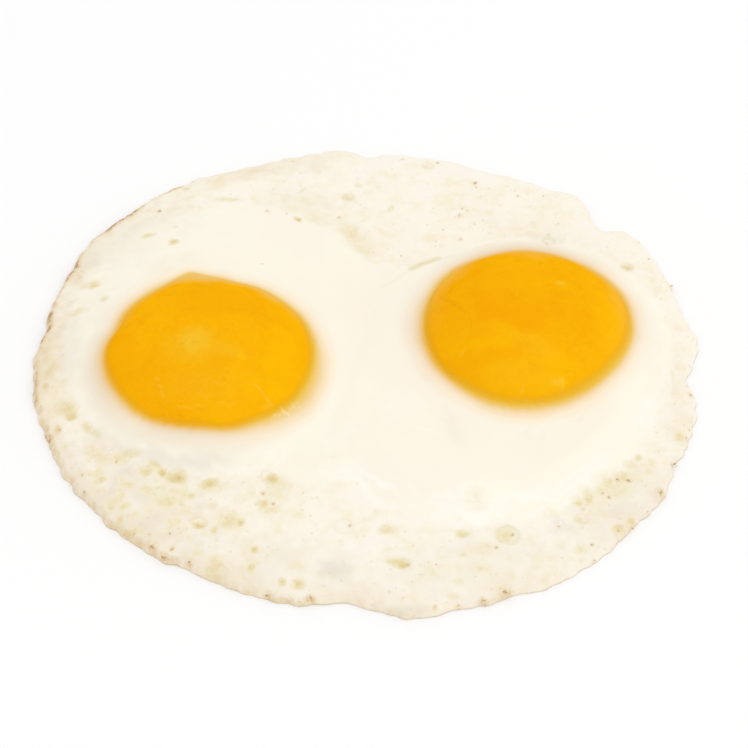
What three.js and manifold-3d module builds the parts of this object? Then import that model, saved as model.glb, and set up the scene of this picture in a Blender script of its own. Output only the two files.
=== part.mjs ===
// A pair of fried eggs, sunny side up, whose whites set together into one round sheet.
// Millimetres, +Z up. The origin is under the middle of the pair, on the surface it lies on.
// X runs from the left yolk to the right yolk, and angles are degrees from +X, counter-clockwise.

import * as THREE from 'three';
import { mergeVertices } from 'three/addons/utils/BufferGeometryUtils.js';
import Module from 'manifold-3d';

// Outline of the white: the round of a small pan, with broad waves and a few lobes and nicks

const WHITE_RADIUS = 69.5;
const OUTLINE_WAVES = [
  { count: 1, height: 0.4, peak: 97 },
  { count: 2, height: 1.0, peak: -36 },
  { count: 3, height: 0.6, peak: 42 },
  { count: 4, height: 0.7, peak: 35 },
  { count: 7, height: 0.25, peak: -17 },
];
const OUTLINE_LOBES = [
  { at: 5, reach: 1.3, width: 4 },
  { at: 31, reach: 1.0, width: 4.5 },
  { at: 38.3, reach: -2.7, width: 1.6 },
  { at: 41.2, reach: -3.0, width: 3 },
  { at: 48.5, reach: 1.7, width: 3 },
  { at: 67, reach: -0.7, width: 5 },
  { at: 90, reach: -1.7, width: 2.2 },
  { at: 96, reach: 1.4, width: 4 },
  { at: 114, reach: -0.8, width: 6 },
  { at: 149, reach: 0.7, width: 4 },
  { at: 172, reach: -0.7, width: 4 },
  { at: 197, reach: -0.7, width: 4.5 },
  { at: 238, reach: -0.6, width: 4 },
  { at: 265, reach: -1.7, width: 4.2 },
  { at: 277, reach: 1.5, width: 4 },
  { at: 294, reach: -1.3, width: 2 },
  { at: 303, reach: 0.4, width: 6 },
  { at: 326, reach: 0.8, width: 3 },
  { at: 334, reach: -1.0, width: 2.6 },
  { at: 356, reach: -2.0, width: 3.6 },
];

// Thin white: a rounded lip that thickens inwards to a gently rolling sheet

const LIP_THICKNESS = 1.3;
const THIN_WHITE = 2.7;
const EDGE_SLOPE = 9;
const ROLLS = [
  { height: 0.12, length: 19, turn: 20, shift: 0 },
  { height: 0.1, length: 13, turn: 78, shift: 90 },
  { height: 0.1, length: 16, turn: 140, shift: 200 },
];

// Thick white: one low oval mound round each yolk, run together in the middle, and a lower one in front

const MOUND_SHOULDER_FRONT = 10;
const MOUND_SHOULDER_BACK = 20;
const MOUND_BLEND = 5;
const MOUNDS = [
  { x: -29.4, y: 6.7, long: 43, short: 35.9, turn: 84, rise: 3.6 },
  { x: 26.2, y: -5.1, long: 46, short: 37.5, turn: 63, rise: 3.6 },
  { x: -7, y: -31, long: 15, short: 13, turn: 80, rise: 1.7 },
];

// Yolks: flat underneath and domed on top, a little out of round. The left one is lower and
// drawn out to a corner, whose tip is rounded over a few degrees.

const YOLK_UNDERSIDE = 1.2;
const YOLK_BELLY_ROUNDNESS = 5;
const CORNER_ROUNDING = 2;
const YOLK_LEFT = {
  name: 'yolk_left',
  x: -32.6,
  y: -3.0,
  radius: 21.6,
  dome: 8.2,
  roundness: 2.6,
  corner: { at: 102, reach: 3.2 },
  lobes: [
    { at: 313, reach: 2.0, width: 34 },
    { at: 240, reach: 0.5, width: 25 },
    { at: 160, reach: -1.6, width: 15 },
    { at: 50, reach: -0.5, width: 24 },
  ],
};
const YOLK_RIGHT = {
  name: 'yolk_right',
  x: 33.2,
  y: 4.0,
  radius: 21.2,
  dome: 12.7,
  roundness: 3.0,
  corner: { at: 0, reach: 0 },
  lobes: [
    { at: 78, reach: 3.5, width: 65 },
    { at: 258, reach: 2.0, width: 34 },
  ],
};
const YOLKS = [YOLK_LEFT, YOLK_RIGHT];
const SWELL_RISE = 0.5;
const SWELL_WIDTH = 6;
const YOLK_CLEARANCE = 0.3;

// Mesh fineness: points round the white's edge and round a yolk

const WHITE_SECTORS = 180;
const YOLK_SECTORS = 60;

// Helpers

function radians(degrees) {
  return degrees * Math.PI / 180;
}

function degreesOf(x, y) {
  return Math.atan2(y, x) * 180 / Math.PI;
}

function turnBetween(a, b) {
  return ((a - b) % 360 + 540) % 360 - 180;
}

function clamp01(value) {
  return Math.min(1, Math.max(0, value));
}

function easeIn(value) {
  const t = clamp01(value);
  return 1 - (1 - t) ** 2;
}

function easeBoth(value) {
  const t = clamp01(value);
  return t * t * (3 - 2 * t);
}

function lobesReach(lobes, degrees) {
  let reach = 0;
  for (const lobe of lobes) {
    reach += lobe.reach * Math.exp(-((turnBetween(degrees, lobe.at) / lobe.width) ** 2));
  }
  return reach;
}

// Outline of the white, as a radius for each direction

function edgeRadius(degrees) {
  let radius = WHITE_RADIUS;
  for (const wave of OUTLINE_WAVES) {
    radius += wave.height * Math.cos(radians(wave.count * (degrees - wave.peak)));
  }
  return radius + lobesReach(OUTLINE_LOBES, degrees);
}

// Outline of a yolk: a circle with lobes, and straight flanks that meet in its corner

function yolkRadius(yolk, degrees) {
  const flank = Math.acos(yolk.radius / (yolk.radius + yolk.corner.reach));
  const turn = radians(Math.hypot(turnBetween(degrees, yolk.corner.at), CORNER_ROUNDING));
  const round = turn < flank ? yolk.radius / Math.cos(flank - turn) : yolk.radius;
  return round + lobesReach(yolk.lobes, degrees);
}

// Top surface of the white

function sheetHeight(x, y) {
  const inset = edgeRadius(degreesOf(x, y)) - Math.hypot(x, y);
  const inside = easeIn(inset / EDGE_SLOPE);
  let rise = THIN_WHITE - LIP_THICKNESS;
  for (const roll of ROLLS) {
    const along = x * Math.cos(radians(roll.turn)) + y * Math.sin(radians(roll.turn));
    rise += roll.height * Math.sin(radians(360 * along / roll.length + roll.shift));
  }
  return LIP_THICKNESS + rise * inside;
}

function moundHeight(mound, x, y) {
  const turn = radians(mound.turn);
  const dx = x - mound.x;
  const dy = y - mound.y;
  const along = dx * Math.cos(turn) + dy * Math.sin(turn);
  const across = dy * Math.cos(turn) - dx * Math.sin(turn);
  const share = Math.hypot(along / mound.long, across / mound.short);
  const inset = (1 - share) * Math.sqrt(mound.long * mound.short);
  const backward = (1 + Math.sin(Math.atan2(dy, dx))) / 2;
  const shoulder = MOUND_SHOULDER_FRONT + (MOUND_SHOULDER_BACK - MOUND_SHOULDER_FRONT) * backward;
  return mound.rise * easeBoth(inset / shoulder);
}

function swellHeight(yolk, x, y) {
  const dx = x - yolk.x;
  const dy = y - yolk.y;
  const away = Math.max(0, Math.hypot(dx, dy) - yolkRadius(yolk, degreesOf(dx, dy)));
  return SWELL_RISE * Math.exp(-((away / SWELL_WIDTH) ** 2));
}

function whiteHeight(x, y) {
  let height = sheetHeight(x, y);
  let mounds = 0;
  for (const mound of MOUNDS) {
    mounds += moundHeight(mound, x, y) ** MOUND_BLEND;
  }
  height += mounds ** (1 / MOUND_BLEND);
  for (const yolk of YOLKS) {
    height += swellHeight(yolk, x, y);
  }
  return height;
}

// Closed bodies are built from rings of points. The next ring has as many points or half as many.

function stitch(triangles, ring, next) {
  const count = ring.length;
  const step = count / next.length;
  for (let i = 0; i < count; i += step) {
    const here = next[i / step];
    const ahead = next[(i / step + 1) % next.length];
    triangles.push([ring[i], ring[(i + 1) % count], here]);
    if (step === 2) {
      triangles.push([ring[i + 1], ring[(i + 2) % count], ahead]);
    }
    triangles.push([here, ring[(i + 1) % count], ahead]);
  }
}

function closeRing(triangles, ring, middle) {
  for (let i = 0; i < ring.length; i += 1) {
    triangles.push([ring[i], ring[(i + 1) % ring.length], middle]);
  }
}

// A body from its underside's middle, its rings from there out and back over the top, and its top's middle

function bodyFromRings(bottomMiddle, rings, topMiddle) {
  const triangles = [];
  const outward = [...rings].reverse();
  closeRing(triangles, [...rings[0]].reverse(), bottomMiddle);
  for (let i = 1; i < rings.length; i += 1) {
    if (rings[i].length <= rings[i - 1].length) {
      stitch(triangles, rings[i - 1], rings[i]);
    } else {
      stitch(triangles, turned(rings[i]), turned(rings[i - 1]));
    }
  }
  closeRing(triangles, outward[0], topMiddle);
  const geometry = new THREE.BufferGeometry();
  geometry.setAttribute('position', new THREE.Float32BufferAttribute(triangles.flat(2), 3));
  return mergeVertices(geometry, 1e-4);
}

// The same ring run the other way round from its first point

function turned(ring) {
  return [ring[0], ...ring.slice(1).reverse()];
}

// The white before the yolks' pockets are cut: flat underneath, rounded lip, and the rolling top

function whiteRing(sectors, place) {
  const ring = [];
  for (let i = 0; i < sectors; i += 1) {
    const degrees = 360 * i / sectors;
    const { radius, z } = place(edgeRadius(degrees));
    const x = radius * Math.cos(radians(degrees));
    const y = radius * Math.sin(radians(degrees));
    ring.push([x, y, z ?? whiteHeight(x, y)]);
  }
  return ring;
}

function whiteBody() {
  const rings = [];
  for (const [sectors, share] of [[45, 0.35], [90, 0.8]]) {
    rings.push(whiteRing(sectors, (edge) => ({ radius: share * edge, z: 0 })));
  }
  for (const [inset, z] of [[1.1, 0], [0.3, 0.25], [0, 0.65], [0.25, 1.05]]) {
    rings.push(whiteRing(WHITE_SECTORS, (edge) => ({ radius: edge - inset, z })));
  }
  for (const inset of [1.1, 3.2, 6, 9.5]) {
    rings.push(whiteRing(WHITE_SECTORS, (edge) => ({ radius: edge - inset })));
  }
  for (let share = 0.81; share > 0.57; share -= 0.05) {
    rings.push(whiteRing(WHITE_SECTORS, (edge) => ({ radius: share * edge })));
  }
  for (let share = 0.55; share > 0.24; share -= 0.06) {
    rings.push(whiteRing(WHITE_SECTORS / 2, (edge) => ({ radius: share * edge })));
  }
  for (let share = 0.18; share > 0.05; share -= 0.06) {
    rings.push(whiteRing(WHITE_SECTORS / 4, (edge) => ({ radius: share * edge })));
  }
  return bodyFromRings([0, 0, 0], rings, [0, 0, whiteHeight(0, 0)]);
}

// A ring of points round a yolk, at a share of the way out to its rim, which lies on the white

function yolkRing(yolk, clearance, share, heightAt) {
  const points = [];
  for (let i = 0; i < YOLK_SECTORS; i += 1) {
    const degrees = yolk.corner.at + 360 * i / YOLK_SECTORS;
    const reach = yolkRadius(yolk, degrees) + clearance;
    const offX = reach * Math.cos(radians(degrees));
    const offY = reach * Math.sin(radians(degrees));
    const rim = whiteHeight(yolk.x + offX, yolk.y + offY);
    points.push([yolk.x + share * offX, yolk.y + share * offY, heightAt(share, rim, reach)]);
  }
  return points;
}

function bellyRings(yolk, clearance) {
  const floor = YOLK_UNDERSIDE - clearance;
  const belly = (share, rim) => floor + (rim - floor) * share ** YOLK_BELLY_ROUNDNESS;
  return [0.4, 0.65, 0.82, 0.93, 1].map((share) => yolkRing(yolk, clearance, share, belly));
}

// The dome is round in its middle and takes on the shape of the rim towards it

function yolkBody(yolk) {
  const level = whiteHeight(yolk.x + yolk.radius, yolk.y);
  const dome = (share, rim, reach) => {
    const rounded = share * reach / (yolk.radius + (reach - yolk.radius) * share ** 2);
    const base = level + (rim - level) * rounded ** 2;
    return base + yolk.dome * (1 - rounded ** yolk.roundness);
  };
  const domeRings = [0.93, 0.83, 0.7, 0.54, 0.36, 0.18].map((share) => yolkRing(yolk, 0, share, dome));
  const underside = [yolk.x, yolk.y, YOLK_UNDERSIDE];
  const top = [yolk.x, yolk.y, level + yolk.dome];
  return bodyFromRings(underside, [...bellyRings(yolk, 0), ...domeRings], top);
}

// The hollow that a yolk lies in, with straight walls that rise clear of the white

function pocketBody(yolk) {
  const above = whiteHeight(yolk.x + yolk.radius, yolk.y) + yolk.dome;
  const mouth = yolkRing(yolk, YOLK_CLEARANCE, 1, () => above);
  const underside = [yolk.x, yolk.y, YOLK_UNDERSIDE - YOLK_CLEARANCE];
  return bodyFromRings(underside, [...bellyRings(yolk, YOLK_CLEARANCE), mouth], [yolk.x, yolk.y, above]);
}

// Pockets are cut from the white with solid geometry

const wasm = await Module();
wasm.setup();

function solidOf(geometry) {
  const mesh = new wasm.Mesh({
    numProp: 3,
    vertProperties: new Float32Array(geometry.attributes.position.array),
    triVerts: new Uint32Array(geometry.index.array),
  });
  return new wasm.Manifold(mesh);
}

function geometryOf(solid) {
  const mesh = solid.getMesh();
  const geometry = new THREE.BufferGeometry();
  geometry.setAttribute('position', new THREE.BufferAttribute(new Float32Array(mesh.vertProperties), 3));
  geometry.setIndex(new THREE.BufferAttribute(new Uint32Array(mesh.triVerts), 1));
  return geometry;
}

function whiteWithPockets() {
  let white = solidOf(whiteBody());
  for (const yolk of YOLKS) {
    white = white.subtract(solidOf(pocketBody(yolk)));
  }
  return geometryOf(white);
}

// Materials

const cookedWhite = new THREE.MeshStandardMaterial({ color: 0xf8f1e0, roughness: 0.4, metalness: 0 });
const softYolk = new THREE.MeshStandardMaterial({ color: 0xfbb207, roughness: 0.25, metalness: 0 });

function namedMesh(name, geometry, material) {
  geometry.computeVertexNormals();
  const mesh = new THREE.Mesh(geometry, material);
  mesh.name = name;
  return mesh;
}

const friedEggs = new THREE.Group();
friedEggs.add(namedMesh('egg_white', whiteWithPockets(), cookedWhite));
for (const yolk of YOLKS) {
  friedEggs.add(namedMesh(yolk.name, yolkBody(yolk), softYolk));
}

export default friedEggs;
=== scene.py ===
# A pair of fried eggs on a pale floor: the moist white with its pools, bubbles and browned edge, and
# two soft yolks under a thin film. Blender works in metres. Sizes here are millimetres, turned by MM.

import math

import bmesh
import bpy
import numpy as np
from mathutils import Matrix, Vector


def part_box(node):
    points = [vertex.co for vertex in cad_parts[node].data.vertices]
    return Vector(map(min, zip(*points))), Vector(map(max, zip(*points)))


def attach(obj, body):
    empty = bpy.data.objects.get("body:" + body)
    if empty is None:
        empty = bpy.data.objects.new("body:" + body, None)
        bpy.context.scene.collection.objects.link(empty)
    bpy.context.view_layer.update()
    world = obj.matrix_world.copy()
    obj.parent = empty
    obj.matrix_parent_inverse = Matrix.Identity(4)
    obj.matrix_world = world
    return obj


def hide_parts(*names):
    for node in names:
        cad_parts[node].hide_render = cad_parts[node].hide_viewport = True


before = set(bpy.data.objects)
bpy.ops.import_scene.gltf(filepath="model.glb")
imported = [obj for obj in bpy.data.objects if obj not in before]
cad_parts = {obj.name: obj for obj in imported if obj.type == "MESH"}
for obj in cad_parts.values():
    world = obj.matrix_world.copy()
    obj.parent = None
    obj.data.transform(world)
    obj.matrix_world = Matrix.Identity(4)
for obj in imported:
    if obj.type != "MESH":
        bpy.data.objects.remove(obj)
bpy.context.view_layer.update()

MM = 0.001

# Outline of the white: the round of a small pan, broad waves (count, height, peak) and
# lobes and nicks (direction, reach, width). Directions are degrees from +X.

WHITE_RADIUS = 69.5
OUTLINE_WAVES = [(1, 0.4, 97), (2, 1.0, -36), (3, 0.6, 42), (4, 0.7, 35), (7, 0.25, -17)]
OUTLINE_LOBES = [
    (5, 1.3, 4), (31, 1.0, 4.5), (38.3, -2.7, 1.6), (41.2, -3.0, 3), (48.5, 1.7, 3), (67, -0.7, 5),
    (90, -1.7, 2.2), (96, 1.4, 4), (114, -0.8, 6), (149, 0.7, 4), (172, -0.7, 4), (197, -0.7, 4.5),
    (238, -0.6, 4), (265, -1.7, 4.2), (277, 1.5, 4), (294, -1.3, 2), (303, 0.4, 6), (326, 0.8, 3),
    (334, -1.0, 2.6), (356, -2.0, 3.6),
]

# Thin white with long low rolls (height, length, turn, shift), and the thick white's mounds
# (x, y, half length, half width, turn, rise)

LIP_THICKNESS = 1.3
THIN_WHITE = 2.7
EDGE_SLOPE = 9
ROLLS = [(0.12, 19, 20, 0), (0.1, 13, 78, 90), (0.1, 16, 140, 200)]
MOUND_SHOULDER_FRONT = 10
MOUND_SHOULDER_BACK = 20
MOUND_BLEND = 5
MOUNDS = [
    (-29.4, 6.7, 43, 35.9, 84, 3.6),
    (26.2, -5.1, 46, 37.5, 63, 3.6),
    (-7, -31, 15, 13, 80, 1.7),
]

# Yolks: lobes are (direction, reach, width). The milky film where a yolk meets the white is
# wider in some directions, and sits further in or out (direction, wider, further out, spread).
# Blush, veil and ragged are (direction, spread, strength). Blush is where the white beside a yolk
# turns peach and darker instead of yellow: partly a peach tint and partly painted shade, as behind the
# right yolk's dome. The veil is where the film lies over the yolk, and on the yolk's far side it is
# also painted sheen. Ragged is where its rim is torn. The veil's reach is how far inside the rim it
# ends, and how far in it is full where it is strongest. At the rim itself it has only a share of its
# strength.

YOLK_UNDERSIDE = 1.2
POCKET_GAP = 0.3
BELLY_ROUNDNESS = 5
CORNER_ROUNDING = 2
SWELL_RISE = 0.5
SWELL_WIDTH = 6
RIM_FILLET = 0.7
YOLK_SHAPES = {
    "yolk_left": {
        "radius": 21.6,
        "roundness": 2.6,
        "corner_at": 102,
        "corner_reach": 3.2,
        "lobes": [(313, 2.0, 34), (240, 0.5, 25), (160, -1.6, 15), (50, -0.5, 24)],
        "film": [
            (326, 1.4, -0.1, 26), (75, -0.25, -0.4, 34), (104, 0, -0.4, 9), (127, 0, 0.25, 9),
            (84, 0, 0.45, 7), (155, -0.2, 0.65, 11), (18, 0, -0.3, 12), (235, -0.25, 0.35, 16),
            (265, -0.2, 0.25, 20), (284, -0.15, 0.6, 10),
        ],
        "blush_and_shade": [(195, 50, 1.0), (258, 34, 0.9)],
        "veil_and_sheen": [(98, 17, 1.0), (74, 42, 0.55), (125, 22, 0.25)],
        "veil_and_sheen_reach": (10.5, 2.5),
        "veil_and_sheen_share_at_rim": 1,
        "ragged": [(245, 34, 1.0), (305, 12, 0.6)],
    },
    "yolk_right": {
        "radius": 21.2,
        "roundness": 3.0,
        "corner_at": 0,
        "corner_reach": 0,
        "lobes": [(78, 3.5, 65), (258, 2.0, 34)],
        "film": [
            (267, 0.85, 0.45, 21), (212, -0.15, 0.6, 23), (340, -0.2, -0.45, 30), (38, -0.2, 0.6, 15),
            (92, 0.1, 1.75, 46), (112, 0, 0.25, 12), (74, 0, 0.25, 7), (158, 0, -0.35, 16),
        ],
        "blush_and_shade": [(180, 50, 0.55), (8, 30, 0.4), (92, 46, 0.9)],
        "veil_and_sheen": [(82, 35, 0.8), (22, 30, 0.11), (138, 26, 0.25)],
        "veil_and_sheen_reach": (20, 3),
        "veil_and_sheen_share_at_rim": 0.95,
        "ragged": [(262, 18, 1.0)],
    },
}

# Number helpers, all on arrays


def turn_between(a, b):
    return (a - b + 180) % 360 - 180


def ease(value, low, high):
    """0 at low, 1 at high and smooth between, either way round."""
    t = np.clip((value - low) / (high - low), 0, 1)
    return t * t * (3 - 2 * t)


def bell(away, width):
    return np.exp(-((away / width) ** 2))


def direction(x, y):
    return np.degrees(np.arctan2(y, x))


def polar(degrees, radius):
    return radius * np.cos(np.radians(degrees)), radius * np.sin(np.radians(degrees))


def bulges(places, degrees):
    """Soft lobes and dents of a rim added up (direction, reach, width)."""
    return sum(reach * bell(turn_between(degrees, at), width) for at, reach, width in places)


def around(places, degrees):
    """The strongest of a few soft stretches of a rim (direction, spread, strength)."""
    total = 0 * degrees
    for at, spread, strength in places:
        total = np.maximum(total, strength * bell(turn_between(degrees, at), spread))
    return total


def noise(x, y, size, seed):
    """Smooth seeded lumps about size across, from about -1 to 1."""
    cells = 256
    turns = np.random.default_rng(seed).uniform(0, 2 * math.pi, (cells, cells))
    lean = seed * 1.7
    u = (x * math.cos(lean) + y * math.sin(lean)) / size + cells / 2
    v = (y * math.cos(lean) - x * math.sin(lean)) / size + cells / 2
    i = np.floor(u).astype(int)
    j = np.floor(v).astype(int)
    fu = u - i
    fv = v - j
    wu = fu**3 * (fu * (6 * fu - 15) + 10)
    wv = fv**3 * (fv * (6 * fv - 15) + 10)

    def corner(di, dj):
        angle = turns[(i + di) % cells, (j + dj) % cells]
        return np.cos(angle) * (fu - di) + np.sin(angle) * (fv - dj)

    low = corner(0, 0) * (1 - wu) + corner(1, 0) * wu
    high = corner(0, 1) * (1 - wu) + corner(1, 1) * wu
    return (low * (1 - wv) + high * wv) * 1.5


def rough(x, y, layers):
    """Lumps of a few sizes added up (strength, size, seed)."""
    return sum(strength * noise(x, y, size, seed) for strength, size, seed in layers)


def oval(x, y, middle, length, width, turn):
    """Distance from an oval's middle, 1 at its edge."""
    c = math.cos(math.radians(turn))
    s = math.sin(math.radians(turn))
    dx = x - middle[0]
    dy = y - middle[1]
    return np.hypot((dx * c + dy * s) / length, (dy * c - dx * s) / width)


def oval_inset(x, y, middle, length, width, turn):
    """Distance inside an oval's edge, roughly."""
    return (1 - oval(x, y, middle, length, width, turn)) * math.sqrt(length * width)


def path_distance(x, y, path):
    """Distance from a line through a few points."""
    nearest = np.full(np.shape(x), 99.0)
    for (ax, ay), (bx, by) in zip(path, path[1:]):
        along = ((x - ax) * (bx - ax) + (y - ay) * (by - ay)) / ((bx - ax) ** 2 + (by - ay) ** 2)
        along = np.clip(along, 0, 1)
        away = np.hypot(x - ax - along * (bx - ax), y - ay - along * (by - ay))
        nearest = np.minimum(nearest, away)
    return nearest


# The part's own form


def edge_radius(degrees):
    radius = WHITE_RADIUS + 0 * degrees
    for count, height, peak in OUTLINE_WAVES:
        radius = radius + height * np.cos(np.radians(count * (degrees - peak)))
    return radius + bulges(OUTLINE_LOBES, degrees)


def edge_inset(x, y):
    """Distance inside the white's plain outline."""
    return edge_radius(direction(x, y)) - np.hypot(x, y)


def yolk_reach(yolk, degrees):
    flank = math.acos(yolk["radius"] / (yolk["radius"] + yolk["corner_reach"]))
    turn = np.radians(np.hypot(turn_between(degrees, yolk["corner_at"]), CORNER_ROUNDING))
    cornered = yolk["radius"] / np.cos(np.maximum(flank - turn, 0))
    return np.where(turn < flank, cornered, yolk["radius"]) + bulges(yolk["lobes"], degrees)


def place_yolk(name):
    """A yolk's shape with its middle and its top taken from the frame."""
    low, high = ([value / MM for value in corner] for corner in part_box(name))
    yolk = dict(YOLK_SHAPES[name])
    degrees = np.arange(0, 360, 0.5)
    rim_x, rim_y = polar(degrees, yolk_reach(yolk, degrees))
    yolk["x"] = low[0] - rim_x.min()
    yolk["y"] = low[1] - rim_y.min()
    yolk["top"] = high[2]
    return yolk


YOLKS = {name: place_yolk(name) for name in YOLK_SHAPES}


def from_yolk(yolk, x, y):
    """Direction from a yolk's middle, the distance beyond its rim, and how far its rim is."""
    dx = x - yolk["x"]
    dy = y - yolk["y"]
    degrees = direction(dx, dy)
    reach = yolk_reach(yolk, degrees)
    return degrees, np.hypot(dx, dy) - reach, reach


def on_rim_point(yolk, degrees, reach):
    x, y = polar(degrees, reach)
    return yolk["x"] + x, yolk["y"] + y


def sheet_height(x, y):
    rise = THIN_WHITE - LIP_THICKNESS
    for height, length, turn, shift in ROLLS:
        along = x * math.cos(math.radians(turn)) + y * math.sin(math.radians(turn))
        rise = rise + height * np.sin(np.radians(360 * along / length + shift))
    inside = 1 - (1 - np.clip(edge_inset(x, y) / EDGE_SLOPE, 0, 1)) ** 2
    return LIP_THICKNESS + rise * inside


def mound_height(x, y):
    total = 0
    for mx, my, length, width, turn, rise in MOUNDS:
        inset = oval_inset(x, y, (mx, my), length, width, turn)
        backward = (1 + np.sin(np.arctan2(y - my, x - mx))) / 2
        shoulder = MOUND_SHOULDER_FRONT + (MOUND_SHOULDER_BACK - MOUND_SHOULDER_FRONT) * backward
        total = total + (rise * ease(inset / shoulder, 0, 1)) ** MOUND_BLEND
    return total ** (1 / MOUND_BLEND)


def white_height(x, y):
    height = sheet_height(x, y) + mound_height(x, y)
    for yolk in YOLKS.values():
        beyond = np.maximum(from_yolk(yolk, x, y)[1], 0)
        height = height + SWELL_RISE * bell(beyond, SWELL_WIDTH)
    return height


def dome_height(yolk, x, y):
    degrees, beyond, reach = from_yolk(yolk, x, y)
    share = np.minimum(1 + beyond / reach, 1.3)
    rounded = share * reach / (yolk["radius"] + (reach - yolk["radius"]) * share**2)
    level = white_height(yolk["x"] + yolk["radius"], yolk["y"] + 0 * x)
    rim = white_height(*on_rim_point(yolk, degrees, reach))
    base = level + (rim - level) * np.minimum(rounded, 1) ** 2
    return base + (yolk["top"] - level) * (1 - rounded ** yolk["roundness"])


def skin_height(x, y):
    """The top of the egg: the white and the two domes, with a small hollow where they meet."""
    height = white_height(x, y)
    for yolk in YOLKS.values():
        dome = dome_height(yolk, x, y)
        near = np.maximum(RIM_FILLET - np.abs(height - dome), 0) / RIM_FILLET
        height = np.maximum(height, dome) + near**2 * RIM_FILLET / 4
    return height


def hollow_height(yolk, x, y, floor):
    """The underside of a yolk, or the pocket that it lies in."""
    degrees, beyond, reach = from_yolk(yolk, x, y)
    rim = skin_height(*on_rim_point(yolk, degrees, reach))
    share = np.minimum(1 + beyond / reach, 1)
    return floor + (rim - floor) * share**BELLY_ROUNDNESS


# What the white shows. Thick ovals are (x, y, half length, half width, turn), and the others are
# (x, y, length, width, turn, strength). The pale band is (direction, spread, width, strength), and it
# is partly painted light on the front right shoulder of the thick white.
# Pools are thin clear places. Smudges are greyish, partly painted shade along the fold and on the
# left. Tan places are golden, partly painted shade on the left and behind the right yolk. Dull places
# are darker, partly a duller white and partly painted shade. Foam is tiny bubbles painted as bright
# glints.

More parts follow.
